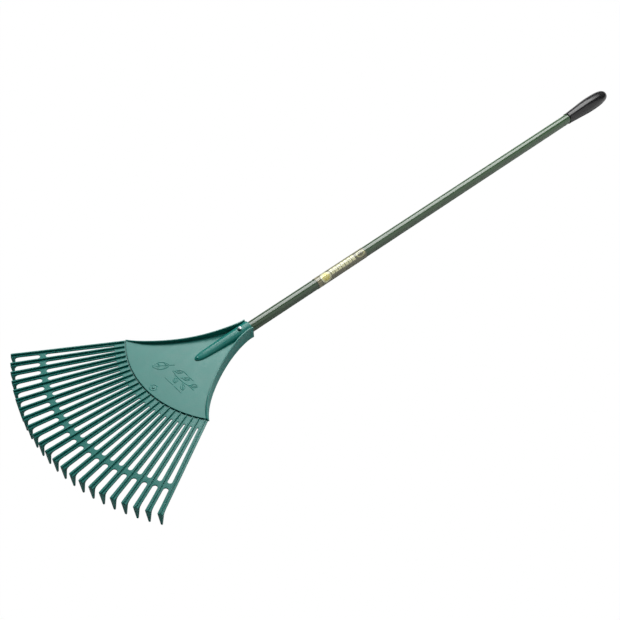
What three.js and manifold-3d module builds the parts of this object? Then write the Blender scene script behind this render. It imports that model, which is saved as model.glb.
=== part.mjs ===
// Leaf rake: a fan-shaped moulded head on a painted steel tube with a moulded end grip.
// Units are millimetres, +Z is up. The rake lies on a level surface, resting on the tips of
// its outermost teeth and on its end grip. +Y runs from the teeth to the grip, and the handle
// is level above the Y axis. The origin is on that surface, under the middle of the rake.
//
// The head is one moulding on the real rake. Its tines and its cross band are separate
// meshes here, a hair's breadth apart, so that the space between the tines stays open.

import * as THREE from 'three';
import { mergeVertices } from 'three/addons/utils/BufferGeometryUtils.js';
import Module from 'manifold-3d';

const wasm = await Module();
wasm.setup();

// ---------------------------------------------------------------- driving dimensions

const CLEARANCE = 0.3;              // gap kept between neighbouring pieces

// Handle tube and end grip. Y is measured here from the fan's centre, near the socket's mouth.
const TUBE_RADIUS = 12;
const TUBE_WALL = 1.2;
const ROUND_SIDES = 32;
const GRIP_START = 997;
const GRIP_END = 1135;
const GRIP_RADIUS = 17.6;
const GRIP_BORE_DEPTH = 104;
const AXIS_HEIGHT = GRIP_RADIUS;    // the grip's belly rests on the ground
// The grip's outline, as (distance from its start, radius).
const GRIP_OUTLINE = [[0, 12.9], [13, 13.7], [40, 15.5], [67, 17.3], [91, 17.6], [119, 16.2], [133, 12.6]];
const GRIP_END_FLAT = 8;

// Printed film wrapped round the tube.
const LABEL_START = 182;
const LABEL_LENGTH = 140;
const LABEL_GAP = 0.1;
const LABEL_THICKNESS = 0.2;

// Head: everything fans out from one centre, in a plane that rises towards the teeth.
const HEAD_PITCH = THREE.MathUtils.degToRad(2.84);
const PLANE_HEIGHT = 17.4;          // top of the straps at the fan's centre
const TINE_COUNT = 23;
const TINE_PITCH = THREE.MathUtils.degToRad(2.796);

// Each arc across the fan is a little flatter than a circle: its radius falls by
// sag times the square of the angle, in radians, from the middle tine.
const PLATE_EDGE = { radius: 266, sag: 25 };
const SLOT_START = { radius: 284, sag: 21 };
const BAND_INNER = { radius: 426, sag: 36 };
const BAND_OUTER = { radius: 437, sag: 36 };
const TINE_ENDS = { radius: 496.5, sag: 39 };
const ARC_STEPS = 2 * (TINE_COUNT - 1);

// Tines: a flat strap with a rib along its top. Heights are from the strap's top face.
const STRAP_WIDTH = 10.6;
const STRAP_THICKNESS = 3.2;
const RIB_WIDTH = 2;
const RIB_HEIGHT = 3.8;

// Teeth, bent down from the tines' ends.
const TOOTH_LEAN = 2.6;             // how far the tip stands in from the tine's end
const TOOTH_ROOT_DEPTH = 7.6;       // front to back
const TOOTH_TIP_DEPTH = 3.2;
const TOOTH_TIP_WIDTH = 3.6;
const TOOTH_FILLET = 8;
const FILLET_STEPS = 4;

// Plate: a little lower than the tops of the ribs, with a wall along each flaring side.
const PLATE_TOP = 2.8;
const PLATE_THICKNESS = 3;
const WEB_OVERLAP = 8;              // how far the slotted web runs under the plate
const RIB_OVERLAP = 0.3;            // how far the ribs run into the plate's edge
const MOUTH = -3;
const SIDE_CURVE = new THREE.CubicBezierCurve(
  new THREE.Vector2(15.5, MOUTH),
  new THREE.Vector2(8.4, -37.5),
  new THREE.Vector2(62, -171.8),
  new THREE.Vector2(134, -217),
);
const SIDE_STEPS = 18;
const WALL_THICKNESS = 2.6;
const WALL_FLARE = 3.5;             // the wall's foot stands this far out from its rim
// Heights of the wall's rim and foot, at distances from the mouth.
const WALL_STATIONS = [0, 60, 115, 175, 203, 214];
const WALL_RIM = [14.6, 14.8, 11.2, 9, 6.4, PLATE_TOP];
const WALL_FOOT = [-11, -12, -12, -10, -6, -STRAP_THICKNESS];

// Socket boss: a bullet shape that takes the end of the tube.
const BOSS_RADIUS = 16.4;
const BOSS_STRAIGHT = 82;           // from the mouth to where the nose starts to curve in
const BOSS_NOSE = 72;
const NOSE_STEPS = 9;
const SOCKET_DEPTH = 98;

// Socket screw, down through the top of the boss and the tube's wall.
const SCREW_Y = -26;
const SCREW_HEAD_RADIUS = 4.2;
const SCREW_HEAD_HEIGHT = 2.6;
const SCREW_SHANK_RADIUS = 1.9;
const SCREW_LENGTH = 14;
const SCREW_SIDES = 24;
const SCREW_PAD_RADIUS = 5.4;
const SCREW_PAD_HEIGHT = 0.9;       // above the crown of the boss
const RECESS = { length: 4.4, width: 1, depth: 1.3 };

const HEAD_GREEN = { color: 0x2f6f63, roughness: 0.42, metalness: 0 };
const TUBE_GREEN = { color: 0x3c5c41, roughness: 0.35, metalness: 0.3 };
const GRIP_BLACK = { color: 0x242426, roughness: 0.55, metalness: 0 };
const SCREW_STEEL = { color: 0xb9bec2, roughness: 0.3, metalness: 0.9 };
const LABEL_FILM = { color: 0x4d4f38, roughness: 0.3, metalness: 0 };

const ACROSS = new THREE.Vector3(1, 0, 0);
const OUTWARD = new THREE.Vector3(0, -1, 0);
const UP = new THREE.Vector3(0, 0, 1);

const headFrame = new THREE.Matrix4().makeRotationX(-HEAD_PITCH).setPosition(0, 0, PLANE_HEIGHT);
const intoHead = headFrame.clone().invert();

// ---------------------------------------------------------------- solids

// Joins shared vertices, and drops the empty triangles at the poles of a lathe.
function toSolid(geometry) {
  const bare = geometry.clone();
  bare.deleteAttribute('normal');
  bare.deleteAttribute('uv');
  const merged = mergeVertices(bare, 1e-4);
  const corners = merged.index.array;
  const kept = [];
  for (let i = 0; i < corners.length; i += 3) {
    const [a, b, c] = corners.slice(i, i + 3);
    if (a !== b && b !== c && c !== a) kept.push(a, b, c);
  }
  const vertProperties = merged.attributes.position.array;
  return new wasm.Manifold(new wasm.Mesh({ numProp: 3, vertProperties, triVerts: new Uint32Array(kept) }));
}

function toGeometry(solid) {
  const { vertProperties, triVerts } = solid.getMesh();
  const geometry = new THREE.BufferGeometry();
  geometry.setAttribute('position', new THREE.BufferAttribute(vertProperties, 3));
  geometry.setIndex(new THREE.BufferAttribute(triVerts, 1));
  geometry.computeVertexNormals();
  return geometry;
}

function union(solids) {
  return solids.reduce((joined, next) => joined.add(next));
}

function toMesh(name, solid, look) {
  const mesh = new THREE.Mesh(toGeometry(solid), new THREE.MeshStandardMaterial(look));
  mesh.name = name;
  return mesh;
}

// Extrudes an outline drawn along two directions, from one distance to another along the
// direction square to both.
function slab(right, upward, outline, from, to) {
  const points = outline.map(([x, y]) => new THREE.Vector2(x, y));
  const options = { depth: to - from, bevelEnabled: false };
  const geometry = new THREE.ExtrudeGeometry(new THREE.Shape(points), options);
  geometry.translate(0, 0, from);
  const frame = new THREE.Matrix4().makeBasis(right, upward, right.clone().cross(upward));
  return geometry.applyMatrix4(frame);
}

function flatSlab(outline, bottom, top) {
  return slab(ACROSS, OUTWARD.clone().negate(), outline, bottom, top);
}

// A bar that runs outward from the fan's centre, between two radii and two heights.
function bar(width, inner, outer, bottom, top) {
  const half = width / 2;
  return flatSlab([[-half, -outer], [half, -outer], [half, -inner], [-half, -inner]], bottom, top);
}

// A profile of [radius, distance] points turned about the handle's axis.
function turned(profile) {
  const points = profile.map(([radius, distance]) => new THREE.Vector2(radius, distance));
  return new THREE.LatheGeometry(points, ROUND_SIDES).translate(0, 0, AXIS_HEIGHT);
}

// A profile of [radius, height] points turned about the screw's axis, over the handle's axis.
function turnedOnScrew(profile) {
  const points = profile.map(([radius, height]) => new THREE.Vector2(radius, height));
  return new THREE.LatheGeometry(points, SCREW_SIDES).rotateX(Math.PI / 2).translate(0, SCREW_Y, AXIS_HEIGHT);
}

// ---------------------------------------------------------------- the fan's layout

function tineAngle(index) {
  return (index - (TINE_COUNT - 1) / 2) * TINE_PITCH;
}

function arcRadius(arc, angle) {
  return arc.radius - arc.sag * angle ** 2;
}

// Points along an arc of the fan, out to the outer edges of the outermost tines and a spread past them.
function arcPoints(arc, offset, spread = 0) {
  const reach = tineAngle(TINE_COUNT - 1) + (STRAP_WIDTH / 2 + spread) / arc.radius;
  const points = [];
  for (let step = 0; step <= ARC_STEPS; step++) {
    const angle = THREE.MathUtils.lerp(-reach, reach, step / ARC_STEPS);
    const radius = arcRadius(arc, angle) + offset;
    points.push([radius * Math.sin(angle), -radius * Math.cos(angle)]);
  }
  return points;
}

function arcBand(inner, outer, margin, bottom, top) {
  const outline = [...arcPoints(inner, -margin, margin), ...arcPoints(outer, margin, margin).reverse()];
  return flatSlab(outline, bottom, top);
}

// ---------------------------------------------------------------- tines and cross band

// Length of a tooth that brings the lowest corner of the outermost teeth to the ground.
function toothLength() {
  const angle = tineAngle(TINE_COUNT - 1);
  const back = arcRadius(TINE_ENDS, angle) - TOOTH_LEAN - TOOTH_TIP_DEPTH;
  const reach = back * Math.cos(angle) - (TOOTH_TIP_WIDTH / 2) * Math.sin(angle);
  return PLANE_HEIGHT / Math.cos(HEAD_PITCH) + reach * Math.tan(HEAD_PITCH);
}

function toothSide(end, length) {
  const back = end - TOOTH_ROOT_DEPTH;
  const fillet = [];
  for (let step = 0; step <= FILLET_STEPS; step++) {
    const turn = (Math.PI / 2) * (step / FILLET_STEPS);
    const out = back - TOOTH_FILLET + TOOTH_FILLET * Math.cos(turn);
    fillet.push([out, -STRAP_THICKNESS - TOOTH_FILLET + TOOTH_FILLET * Math.sin(turn)]);
  }
  return [
    [end, 0],
    [end - TOOTH_LEAN, -length],
    [end - TOOTH_LEAN - TOOTH_TIP_DEPTH, -length],
    ...fillet,
    [back - TOOTH_FILLET, 0],
  ];
}

function toothFront(length) {
  const root = STRAP_WIDTH / 2;
  const tip = TOOTH_TIP_WIDTH / 2;
  const right = [[tip, -length], [root, -STRAP_THICKNESS], [root, 0]];
  return [...right.map(([x, z]) => [-x, z]).reverse(), ...right];
}

function tooth(end) {
  const length = toothLength();
  const half = STRAP_WIDTH / 2;
  const side = toSolid(slab(OUTWARD, UP, toothSide(end, length), -half, half));
  const start = end - TOOTH_ROOT_DEPTH - TOOTH_FILLET - 1;
  const front = toSolid(slab(ACROSS, UP, toothFront(length), start, end + 1));
  return side.intersect(front);
}

// One tine, running straight out. It starts at the slotted web and bridges the cross band.
function tine(angle) {
  const start = arcRadius(SLOT_START, angle) - 2;
  const end = arcRadius(TINE_ENDS, angle);
  const shoulder = end - TOOTH_ROOT_DEPTH / 2;
  const strap = toSolid(bar(STRAP_WIDTH, start, shoulder, -STRAP_THICKNESS, 0));
  const rib = toSolid(bar(RIB_WIDTH, start, end - 1, -STRAP_THICKNESS / 2, RIB_HEIGHT));
  const web = arcBand(PLATE_EDGE, SLOT_START, CLEARANCE, -2 * STRAP_THICKNESS, 2 * RIB_HEIGHT);
  const band = arcBand(BAND_INNER, BAND_OUTER, CLEARANCE, -2 * STRAP_THICKNESS, CLEARANCE);
  return union([strap, rib, tooth(end)])
    .subtract(toSolid(web.rotateZ(-angle)))
    .subtract(toSolid(band.rotateZ(-angle)));
}

function tineMesh(index) {
  const angle = tineAngle(index);
  const mesh = toMesh(`tine_${String(index + 1).padStart(2, '0')}`, tine(angle), HEAD_GREEN);
  mesh.rotation.z = angle;
  return mesh;
}

function crossBand() {
  return toSolid(arcBand(BAND_INNER, BAND_OUTER, 0, -STRAP_THICKNESS, 0));
}

// ---------------------------------------------------------------- plate and socket

function panel() {
  const side = SIDE_CURVE.getPoints(SIDE_STEPS).map((point) => [point.x, point.y]);
  const mirrored = side.map(([x, y]) => [-x, y]);
  const outline = [...mirrored, ...arcPoints(PLATE_EDGE, 0), ...side.reverse()];
  return flatSlab(outline, PLATE_TOP - PLATE_THICKNESS, PLATE_TOP);
}

// The wall along one side, lofted through four-cornered sections. side is 1 or -1.
function sideWall(side) {
  const rim = new THREE.CubicInterpolant(WALL_STATIONS, WALL_RIM, 1);
  const foot = new THREE.CubicInterpolant(WALL_STATIONS, WALL_FOOT, 1);
  const positions = [];
  for (let step = 0; step <= SIDE_STEPS; step++) {
    const { x, y } = SIDE_CURVE.getPoint(step / SIDE_STEPS);
    const tangent = SIDE_CURVE.getTangent(step / SIDE_STEPS);
    const [top] = rim.evaluate(MOUTH - y);
    const [bottom] = foot.evaluate(MOUTH - y);
    const section = [
      [0, top],
      [-WALL_THICKNESS, top],
      [WALL_FLARE - WALL_THICKNESS, bottom],
      [WALL_FLARE, bottom],
    ];
    if (side < 0) section.reverse();
    for (const [out, height] of section) {
      positions.push(side * (x - out * tangent.y), y + out * tangent.x, height);
    }
  }
  return loft(positions, 4);
}

// Closes a run of equal sections into a solid, with a flat cap on each end.
function loft(positions, corners) {
  const last = positions.length / 3 - corners;
  const triangles = [];
  for (let start = 0; start < last; start += corners) {
    for (let corner = 0; corner < corners; corner++) {
      const [a, b] = [start + corner, start + (corner + 1) % corners];
      triangles.push(a, b, a + corners, b, b + corners, a + corners);
    }
  }
  for (let corner = 1; corner < corners - 1; corner++) {
    triangles.push(0, corner + 1, corner, last, last + corner, last + corner + 1);
  }
  const geometry = new THREE.BufferGeometry();
  geometry.setAttribute('position', new THREE.Float32BufferAttribute(positions, 3));
  geometry.setIndex(triangles);
  return geometry;
}

function boss() {
  const shoulder = MOUTH - BOSS_STRAIGHT;
  const profile = [];
  for (let step = 0; step <= NOSE_STEPS; step++) {
    const turn = (Math.PI / 2) * (step / NOSE_STEPS);
    profile.push([BOSS_RADIUS * Math.sin(turn), shoulder - BOSS_NOSE * Math.cos(turn)]);
  }
  return turned([...profile, [BOSS_RADIUS, MOUTH], [0, MOUTH]]);
}

function socketBore() {
  const radius = TUBE_RADIUS + CLEARANCE;
  const bottom = MOUTH - SOCKET_DEPTH;
  return turned([[0, bottom], [radius, bottom], [radius, -MOUTH], [0, -MOUTH]]);
}

function screwPad() {
  const top = BOSS_RADIUS + SCREW_PAD_HEIGHT;
  const side = [[SCREW_PAD_RADIUS, TUBE_RADIUS], [SCREW_PAD_RADIUS, top]];
  return turnedOnScrew([[0, TUBE_RADIUS], ...side, [0, top]]);
}

function screwHole() {
  const radius = SCREW_SHANK_RADIUS + CLEARANCE;
  const top = BOSS_RADIUS + 2 * SCREW_HEAD_HEIGHT;
  return turnedOnScrew([[0, 0], [radius, 0], [radius, top], [0, top]]);
}

function web() {
  const sheet = toSolid(arcBand(PLATE_EDGE, SLOT_START, 0, -STRAP_THICKNESS, 0));
  const lap = { radius: PLATE_EDGE.radius - WEB_OVERLAP, sag: PLATE_EDGE.sag };
  const underPlate = toSolid(arcBand(lap, PLATE_EDGE, 0.01, -STRAP_THICKNESS, 0));
  const ribs = [];
  for (let index = 0; index < TINE_COUNT; index++) {
    const angle = tineAngle(index);
    const start = arcRadius(PLATE_EDGE, angle) - RIB_OVERLAP;
    const rib = bar(RIB_WIDTH, start, arcRadius(SLOT_START, angle), -STRAP_THICKNESS / 2, RIB_HEIGHT);
    ribs.push(toSolid(rib.rotateZ(angle)));
  }
  return union([sheet, underPlate, ...ribs]);
}

function headPlate() {
  const onTube = [boss(), screwPad()].map((shape) => shape.applyMatrix4(intoHead));
  const outside = [panel(), sideWall(1), sideWall(-1), ...onTube];
  return union([...outside.map(toSolid), web()])
    .subtract(toSolid(socketBore().applyMatrix4(intoHead)))
    .subtract(toSolid(screwHole().applyMatrix4(intoHead)));
}

function head() {
  const group = new THREE.Group();
  group.position.z = PLANE_HEIGHT;
  group.rotation.x = -HEAD_PITCH;
  group.add(toMesh('head_plate', headPlate(), HEAD_GREEN));
  group.add(toMesh('cross_band', crossBand(), HEAD_GREEN));
  for (let index = 0; index < TINE_COUNT; index++) group.add(tineMesh(index));
  return group;
}

// ---------------------------------------------------------------- handle

function handleTube() {
  const inner = TUBE_RADIUS - TUBE_WALL;
  const lower = MOUTH - SOCKET_DEPTH + CLEARANCE;
  const upper = GRIP_START + GRIP_BORE_DEPTH - CLEARANCE;
  const outside = [[TUBE_RADIUS, lower], [TUBE_RADIUS, upper]];
  const tube = turned([[inner, lower], ...outside, [inner, upper], [inner, lower]]);
  return toSolid(tube).subtract(toSolid(screwHole()));
}

function endGrip() {
  const bore = TUBE_RADIUS + CLEARANCE;
  const marks = GRIP_OUTLINE.map(([distance, radius]) => new THREE.Vector2(distance, radius));
  const outline = new THREE.SplineCurve(marks);
  const outside = outline.getPoints(2 * (GRIP_OUTLINE.length - 1))
    .map((point) => [Math.min(point.y, GRIP_RADIUS), GRIP_START + point.x]);
  return toSolid(turned([
    [0, GRIP_START + GRIP_BORE_DEPTH],
    [bore, GRIP_START + GRIP_BORE_DEPTH],
    [bore, GRIP_START],
    ...outside,
    [GRIP_END_FLAT, GRIP_END],
    [0, GRIP_END],
  ]));
}

function handleLabel() {
  const inner = TUBE_RADIUS + LABEL_GAP;
  const outer = inner + LABEL_THICKNESS;
  const end = LABEL_START + LABEL_LENGTH;
  const outside = [[outer, LABEL_START], [outer, end]];
  return toSolid(turned([[inner, LABEL_START], ...outside, [inner, end], [inner, LABEL_START]]));
}

function socketScrew() {
  const seat = BOSS_RADIUS + SCREW_PAD_HEIGHT + CLEARANCE;
  const top = seat + SCREW_HEAD_HEIGHT;
  const screw = toSolid(turnedOnScrew([
    [0, seat - SCREW_LENGTH],
    [SCREW_SHANK_RADIUS / 2, seat - SCREW_LENGTH],
    [SCREW_SHANK_RADIUS, seat - SCREW_LENGTH + SCREW_SHANK_RADIUS],
    [SCREW_SHANK_RADIUS, seat],
    [SCREW_HEAD_RADIUS, seat],
    [SCREW_HEAD_RADIUS, seat + SCREW_HEAD_HEIGHT * 0.35],
    [SCREW_HEAD_RADIUS * 0.82, seat + SCREW_HEAD_HEIGHT * 0.75],
    [SCREW_HEAD_RADIUS * 0.5, top],
    [0, top],
  ]));
  const slot = new THREE.BoxGeometry(RECESS.length, RECESS.width, 2 * RECESS.depth);
  slot.translate(0, SCREW_Y, AXIS_HEIGHT + top);
  const crossSlot = new THREE.BoxGeometry(RECESS.width, RECESS.length, 2 * RECESS.depth);
  crossSlot.translate(0, SCREW_Y, AXIS_HEIGHT + top);
  return screw.subtract(toSolid(slot)).subtract(toSolid(crossSlot));
}

// ---------------------------------------------------------------- the whole rake

const rake = new THREE.Group();
rake.add(
  head(),
  toMesh('handle_tube', handleTube(), TUBE_GREEN),
  toMesh('end_grip', endGrip(), GRIP_BLACK),
  toMesh('socket_screw', socketScrew(), SCREW_STEEL),
  toMesh('handle_label', handleLabel(), LABEL_FILM),
);

// The origin goes under the middle of the rake's length.
const bounds = new THREE.Box3().setFromObject(rake, true);
rake.position.y = -(bounds.min.y + bounds.max.y) / 2;
rake.updateMatrixWorld(true);

export default rake;
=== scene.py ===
"""The looks of a leaf rake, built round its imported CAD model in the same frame, in metres.

The head is one continuous plastic moulding: a plate with curled-down walls and a socket boss,
a slotted fan of ribbed tines tied by a cross band, and a bent tooth on each tine. The handle is
a painted tube with a printed film, and a moulded end grip. A screw holds the tube in the socket.
Shapes are worked out in millimetres, and placed in the frame as their meshes are made.
"""

import math

import bmesh
import bpy
import numpy as np
from mathutils import Matrix, Vector
from mathutils.geometry import tessellate_polygon


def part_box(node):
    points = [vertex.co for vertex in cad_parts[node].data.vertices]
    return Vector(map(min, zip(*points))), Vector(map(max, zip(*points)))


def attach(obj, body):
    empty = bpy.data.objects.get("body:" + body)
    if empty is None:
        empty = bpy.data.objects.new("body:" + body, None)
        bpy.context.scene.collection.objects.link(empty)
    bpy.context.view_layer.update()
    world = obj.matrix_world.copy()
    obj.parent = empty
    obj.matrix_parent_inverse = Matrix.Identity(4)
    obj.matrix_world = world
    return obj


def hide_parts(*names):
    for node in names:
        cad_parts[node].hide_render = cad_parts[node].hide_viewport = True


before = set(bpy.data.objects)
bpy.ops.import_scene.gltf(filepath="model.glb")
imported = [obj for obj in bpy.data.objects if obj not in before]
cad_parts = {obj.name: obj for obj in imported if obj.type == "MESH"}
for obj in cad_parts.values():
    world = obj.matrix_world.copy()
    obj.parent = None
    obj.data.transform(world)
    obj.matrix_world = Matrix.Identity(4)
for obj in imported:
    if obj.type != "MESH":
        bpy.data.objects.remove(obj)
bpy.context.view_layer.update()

# ------------------------------------------------------------------ sizes from the frame

MM = 0.001
tube_low, tube_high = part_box("handle_tube")
grip_low, grip_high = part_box("end_grip")
label_low, label_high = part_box("handle_label")
AXIS_HEIGHT = (grip_low.z + grip_high.z) / 2 / MM
TUBE_RADIUS = (tube_high.x - tube_low.x) / 2 / MM
GRIP_RADIUS = (grip_high.x - grip_low.x) / 2 / MM
LABEL_RADIUS = (label_high.x - label_low.x) / 2 / MM

# ------------------------------------------------------------------ driving dimensions, in millimetres

CLEARANCE = 0.3                     # between the head and the tube or the screw
SNUG = 0.1                          # between the tube and the grip or the screw

# Along the handle, distances are from the fan's centre, near the socket's mouth.
# On the head, "reach" is the distance from that centre towards the teeth, and "aside" is across it.
TUBE_WALL = 1.2
GRIP_END = 1135
GRIP_BELLY = 17.6                   # its largest radius
GRIP_BORE_DEPTH = 104

HEAD_PITCH = math.radians(2.84)     # the fan rises towards its teeth
PLANE_HEIGHT = 17.4                 # top of the straps at the fan's centre

TINE_COUNT = 23
TINE_PITCH = math.radians(2.796)
# Arcs across the fan as (radius, sag): the radius falls by sag times the angle squared.
PLATE_EDGE = (266, 25)
SLOT_START = (284, 21)
BAND_INNER = (426, 36)
BAND_OUTER = (437, 36)
TINE_ENDS = (496.5, 39)

STRAP_WIDTH = 10.6
STRAP_THICKNESS = 3.2
STRAP_ROUNDING = 0.5
STRAP_SETBACK = 0.6                 # from the tooth's outer face to the strap's end
RIB_WIDTH = 2
RIB_TOP = 3.8
RIB_SETBACK = 0.8
PLATE_TOP = 2.8
PLATE_BOTTOM = -0.2
WEB_OVERLAP = 5                     # how far the slotted sheet runs under the plate
SIDE_OVERLAP = 3.6                  # the same, at the outermost tines

TOOTH_LENGTH = 38
TOOTH_LEAN = 2.6                    # how far the tip stands in from the tine's end
# The tooth at its root and at its tip, as (width, depth from front to back).
TOOTH_ROOT = (STRAP_WIDTH - 0.06, 7.6)
TOOTH_TIP = (3.6, 3.2)
TOOTH_FILLET = 8

EDGE_ROUNDING = 0.6
MOUTH = 3
SIDE_CURVE = ((15.5, MOUTH + EDGE_ROUNDING), (8.4, 37.5), (62, 171.8), (134, 217))
CORNER_ANGLE = math.atan2(*SIDE_CURVE[3])
WALL_THICKNESS = 2.6
WALL_FLARE = 3.5                    # the wall's foot stands this far out from its rim
WALL_DRAFT = 0.06                   # lean of the wall's inner face, for each millimetre of height
INNER_FILLET = 1.2
RIM_ROUNDING = 0.8
FOOT_CHAMFER = (0.8, 0.5)           # outside and inside
WALL_STATIONS = (3, 63, 118, 178, 206, 217)
WALL_RIM = (14.6, 14.8, 11.2, 9, 6.4, 3.2)
WALL_FOOT = (-11, -12, -12, -10, -6, -2.6)

# The boss over the plate as (value at the fan's centre, fall per millimetre of reach).
BOSS_CROWN = (14.2, 0.066)
BOSS_HALF_WIDTH = (15.0, 0.041)
BOSS_FLANK = math.radians(80)       # how steeply its sides meet the plate
BOSS_NOSE = (105, 143)              # where the nose starts to curve in, and where it ends
BOSS_SUNK = 0.6                     # how far the foot of its sides stands below the plate's top
BOSS_UNDERSIDE = 15.1               # its radius below the plate
UNDERSIDE_NOSE = (101, 151)
NOSE_BUTTON = 136.5                 # reach of the small pad on the nose
SOCKET_DEPTH = 98
SOCKET_RADIUS = TUBE_RADIUS + CLEARANCE

SCREW_REACH = 26
SCREW_PAD_RADIUS = 5.4
SCREW_SEAT = 17.3                   # top of the pad, over the handle's axis
SCREW_HEAD_RADIUS = 4.2
SCREW_HEAD_HEIGHT = 2.6
SCREW_SHANK_RADIUS = 1.9
SCREW_LENGTH = 14
RECESS = (4.4, 1)                   # length and width of one arm of the cross, from end to end
RECESS_DEPTH = 1.3

AXIS_GAP = 0.02                     # how near a turned profile comes to its axis
SLIVER = 0.01                       # the narrowest face kept
SHARP_ANGLE = math.radians(35)      # edges that turn more than this are shaded as sharp
# Sides of the turned shapes.
ROUND_SIDES = 96
SCREW_SIDES = 48
SMALL_SIDES = 32

RELIEF_HEIGHT = 0.6
STROKE_WIDTH = 2.2
GATE_PLACE = (249.5, 4)             # reach and aside of the moulding's gate
GATE_RADIUS = 7.2
SPRIG_REACH = 195                   # of the middle of the sprig's stem
# The plain bars, as (reach, start aside, end aside).
BARS = ((178.5, 6, 22), (178.5, 26, 40), (216, -2, 22), (216, 27, 49))

# The label's print, by its distance along the handle and round the tube from its top.
DISC_PLACE = (207, 6.4)
BLOCK_ENDS = (222, 292)
BLOCK_PITCH = 10
BLOCK_CENTRE = 3
RING_PLACE = (308, 5)
INK_EDGE = 0.4                      # softness of a printed edge
PALE_INK = (0.86, 0.86, 0.52, 1)
YELLOW_INK = (0.86, 0.78, 0.18, 1)

HEAD_NODES = ["head_plate", "cross_band"] + [f"tine_{index + 1:02d}" for index in range(TINE_COUNT)]

# Frames that take millimetres into the row frame: on the handle's axis, the head's plane and
# the screw's axis.
fan_centre = Vector((0, grip_high.y - GRIP_END * MM, AXIS_HEIGHT * MM))
handle_frame = Matrix.Translation(fan_centre) @ Matrix.Scale(MM, 4)
plane_rise = Matrix.Translation((0, 0, PLANE_HEIGHT - AXIS_HEIGHT))
plane_pitch = Matrix.Rotation(-HEAD_PITCH, 4, "X")
head_frame = handle_frame @ (plane_rise @ plane_pitch)
upright = Matrix.Rotation(math.pi / 2, 4, "X")
screw_frame = handle_frame @ Matrix.Translation((0, -SCREW_REACH, 0)) @ upright


# ------------------------------------------------------------------ mesh helpers

def add_mesh(name, shell, placing):
    """A mesh object from a closed shell of (points, faces), with its faces turned outwards."""
    points, faces = shell
    data = bpy.data.meshes.new(name)
    data.from_pydata([tuple(map(float, point)) for point in points], [], faces)
    data.transform(placing)
    mesh = bmesh.new()
    mesh.from_mesh(data)
    bmesh.ops.recalc_face_normals(mesh, faces=mesh.faces)
    if mesh.calc_volume(signed=True) < 0:
        bmesh.ops.reverse_faces(mesh, faces=mesh.faces)
    mesh.to_mesh(data)
    mesh.free()
    piece = bpy.data.objects.new(name, data)
    bpy.context.scene.collection.objects.link(piece)
    return piece


def joined(shells):
    """Several shells as one."""
    points, faces = [], []
    for some_points, some_faces in shells:
        start = len(points)
        points.extend(some_points)
        faces.extend([tuple(start + corner for corner in face) for face in some_faces])
    return points, faces


def combine(piece, shell, placing, operation="UNION"):
    """Joins a closed shell to a piece, or cuts it away."""
    other = add_mesh("other", shell, placing)
    modifier = piece.modifiers.new(operation, "BOOLEAN")
    modifier.operation = operation
    modifier.solver = "MANIFOLD"
    modifier.object = other
    depsgraph = bpy.context.evaluated_depsgraph_get()
    result = bpy.data.meshes.new_from_object(piece.evaluated_get(depsgraph))
    piece.modifiers.clear()
    piece.data = result
    bpy.data.objects.remove(other)


def drop_slivers(piece):
    """Closes up the thinnest slivers that joining leaves, which would show as dark specks."""
    mesh = bmesh.new()
    mesh.from_mesh(piece.data)
    bmesh.ops.remove_doubles(mesh, verts=mesh.verts, dist=SLIVER * MM)
    bmesh.ops.dissolve_degenerate(mesh, edges=mesh.edges, dist=SLIVER * MM)
    mesh.to_mesh(piece.data)
    mesh.free()


def smooth(piece):
    """Smooth shading between sharp edges, with large flat faces kept flat."""
    drop_slivers(piece)
    piece.data.shade_smooth()
    piece.data.set_sharp_from_angle(angle=SHARP_ANGLE)
    weighting = piece.modifiers.new("flat_faces", "WEIGHTED_NORMAL")
    weighting.keep_sharp = True


def skin(rings):
    """Quads between closed rings of points, one strip for each pair of rings."""
    count = len(rings[0])
    faces = []
    for ring in range(len(rings) - 1):
        for corner in range(count):
            following = (corner + 1) % count
            near, far = ring * count, (ring + 1) * count
            faces.append((near + corner, near + following, far + following, far + corner))
    return faces


def loft(rings, looped=False):
    """A closed shell through rings of points: capped at both ends, or looped from last to first."""
    points = [point for ring in rings for point in ring]
    count = len(rings[0])
    strips = skin(rings + rings[:1]) if looped else skin(rings)
    faces = [tuple(corner % len(points) for corner in face) for face in strips]
    if not looped:
        faces.append(tuple(range(count))[::-1])
        faces.append(tuple(range(len(points) - count, len(points))))
    return points, faces


def lathe(profile, sides, looped=False):
    """A profile of (radius, distance) turned about the Y axis."""
    turns = np.linspace(0, 2 * math.pi, sides, endpoint=False)
    rings = [[(radius * math.sin(turn), distance, radius * math.cos(turn)) for turn in turns]
             for radius, distance in profile]
    return loft(rings, looped)


def quarter(steps=3):
    """Points of a quarter round as (sideways, down) shares of its radius, from its top to its side."""
    return [(1 - math.sin(turn), 1 - math.cos(turn)) for turn in np.linspace(0, math.pi / 2, steps + 1)]


def spline(stations, steps):
    """A smooth curve through stations, with a number of steps between each two."""
    stations = np.asarray(stations, float)
    slopes = np.gradient(stations, axis=0)
    points = []
    for index in range(len(stations) - 1):
        for share in np.linspace(0, 1, steps, endpoint=False):
            rise = share * share * (3 - 2 * share)
            leaving = share * (1 - share) ** 2 * slopes[index]
            arriving = share ** 2 * (1 - share) * slopes[index + 1]
            level = stations[index] * (1 - rise) + stations[index + 1] * rise
            points.append(level + leaving - arriving)
    return [tuple(point) for point in [*points, stations[-1]]]


def polygon_area(points):
    """Area inside a closed outline of flat points: more than zero if it runs anticlockwise."""
    flat = np.asarray(points)
    return 0.5 * np.sum(flat[:, 0] * np.roll(flat[:, 1], -1) - np.roll(flat[:, 0], -1) * flat[:, 1])


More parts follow.
